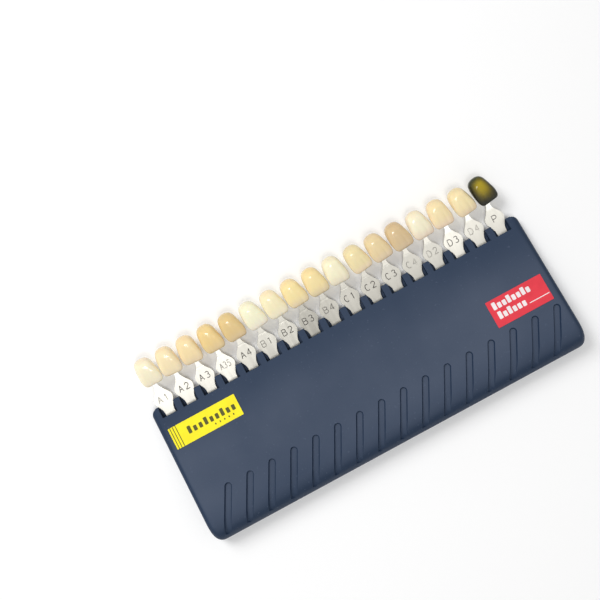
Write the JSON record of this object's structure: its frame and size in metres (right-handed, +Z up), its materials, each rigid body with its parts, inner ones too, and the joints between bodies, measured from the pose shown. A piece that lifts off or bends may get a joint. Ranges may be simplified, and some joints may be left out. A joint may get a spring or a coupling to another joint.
{
  "type": "dental shade guide",
  "caption": "Flat wedge-shaped holder with finger grooves and a row of sliding steel tabs, each carrying a sample tooth in its own shade for matching tooth colour.",
  "frame": {"origin": "centre of the holder's flat back face", "axes": "+X along the row of tabs, +Y from the holder's foot to the teeth, +Z up from the flat back to the sloping front"},
  "size_m": [0.1666, 0.0796, 0.0112],
  "materials": {
    "holder": "matt, finely grained",
    "yellow": "satin",
    "red": "satin",
    "tab": "blasted, with bright edges",
    "tooth_a1": "polished",
    "tooth_a2": "polished",
    "tooth_a3": "polished",
    "tooth_a35": "polished",
    "tooth_a4": "polished",
    "tooth_b1": "polished",
    "tooth_b2": "polished",
    "tooth_b3": "polished",
    "tooth_b4": "polished",
    "tooth_c1": "polished",
    "tooth_c2": "polished",
    "tooth_c3": "polished",
    "tooth_c4": "polished",
    "tooth_d2": "polished",
    "tooth_d3": "polished",
    "tooth_d4": "polished",
    "tooth_p": "polished"
  },
  "bodies": {
    "holder": {"front_shell": "holder", "back_plate": "holder", "yellow_field": "yellow", "red_field": "red"},
    "shade_a1": {"tab_a1": "tab", "tooth_a1": "tooth_a1"},
    "shade_a2": {"tab_a2": "tab", "tooth_a2": "tooth_a2"},
    "shade_a3": {"tab_a3": "tab", "tooth_a3": "tooth_a3"},
    "shade_a35": {"tab_a35": "tab", "tooth_a35": "tooth_a35"},
    "shade_a4": {"tab_a4": "tab", "tooth_a4": "tooth_a4"},
    "shade_b1": {"tab_b1": "tab", "tooth_b1": "tooth_b1"},
    "shade_b2": {"tab_b2": "tab", "tooth_b2": "tooth_b2"},
    "shade_b3": {"tab_b3": "tab", "tooth_b3": "tooth_b3"},
    "shade_b4": {"tab_b4": "tab", "tooth_b4": "tooth_b4"},
    "shade_c1": {"tab_c1": "tab", "tooth_c1": "tooth_c1"},
    "shade_c2": {"tab_c2": "tab", "tooth_c2": "tooth_c2"},
    "shade_c3": {"tab_c3": "tab", "tooth_c3": "tooth_c3"},
    "shade_c4": {"tab_c4": "tab", "tooth_c4": "tooth_c4"},
    "shade_d2": {"tab_d2": "tab", "tooth_d2": "tooth_d2"},
    "shade_d3": {"tab_d3": "tab", "tooth_d3": "tooth_d3"},
    "shade_d4": {"tab_d4": "tab", "tooth_d4": "tooth_d4"},
    "shade_p": {"tab_p": "tab", "tooth_p": "tooth_p"}
  },
  "joints": [
    {"name": "slide_a1", "type": "slide", "parent": "holder", "child": "shade_a1", "axis": [0, 1, 0], "range_m": [0, 0.0286]},
    {"name": "slide_a2", "type": "slide", "parent": "holder", "child": "shade_a2", "axis": [0, 1, 0], "range_m": [0, 0.0286]},
    {"name": "slide_a3", "type": "slide", "parent": "holder", "child": "shade_a3", "axis": [0, 1, 0], "range_m": [0, 0.0286]},
    {"name": "slide_a35", "type": "slide", "parent": "holder", "child": "shade_a35", "axis": [0, 1, 0], "range_m": [0, 0.0286]},
    {"name": "slide_a4", "type": "slide", "parent": "holder", "child": "shade_a4", "axis": [0, 1, 0], "range_m": [0, 0.0286]},
    {"name": "slide_b1", "type": "slide", "parent": "holder", "child": "shade_b1", "axis": [0, 1, 0], "range_m": [0, 0.0286]},
    {"name": "slide_b2", "type": "slide", "parent": "holder", "child": "shade_b2", "axis": [0, 1, 0], "range_m": [0, 0.0286]},
    {"name": "slide_b3", "type": "slide", "parent": "holder", "child": "shade_b3", "axis": [0, 1, 0], "range_m": [0, 0.0286]},
    {"name": "slide_b4", "type": "slide", "parent": "holder", "child": "shade_b4", "axis": [0, 1, 0], "range_m": [0, 0.0286]},
    {"name": "slide_c1", "type": "slide", "parent": "holder", "child": "shade_c1", "axis": [0, 1, 0], "range_m": [0, 0.0286]},
    {"name": "slide_c2", "type": "slide", "parent": "holder", "child": "shade_c2", "axis": [0, 1, 0], "range_m": [0, 0.0286]},
    {"name": "slide_c3", "type": "slide", "parent": "holder", "child": "shade_c3", "axis": [0, 1, 0], "range_m": [0, 0.0286]},
    {"name": "slide_c4", "type": "slide", "parent": "holder", "child": "shade_c4", "axis": [0, 1, 0], "range_m": [0, 0.0286]},
    {"name": "slide_d2", "type": "slide", "parent": "holder", "child": "shade_d2", "axis": [0, 1, 0], "range_m": [0, 0.0286]},
    {"name": "slide_d3", "type": "slide", "parent": "holder", "child": "shade_d3", "axis": [0, 1, 0], "range_m": [0, 0.0286]},
    {"name": "slide_d4", "type": "slide", "parent": "holder", "child": "shade_d4", "axis": [0, 1, 0], "range_m": [0, 0.0286]},
    {"name": "slide_p", "type": "slide", "parent": "holder", "child": "shade_p", "axis": [0, 1, 0], "range_m": [0, 0.0286]}
  ]
}
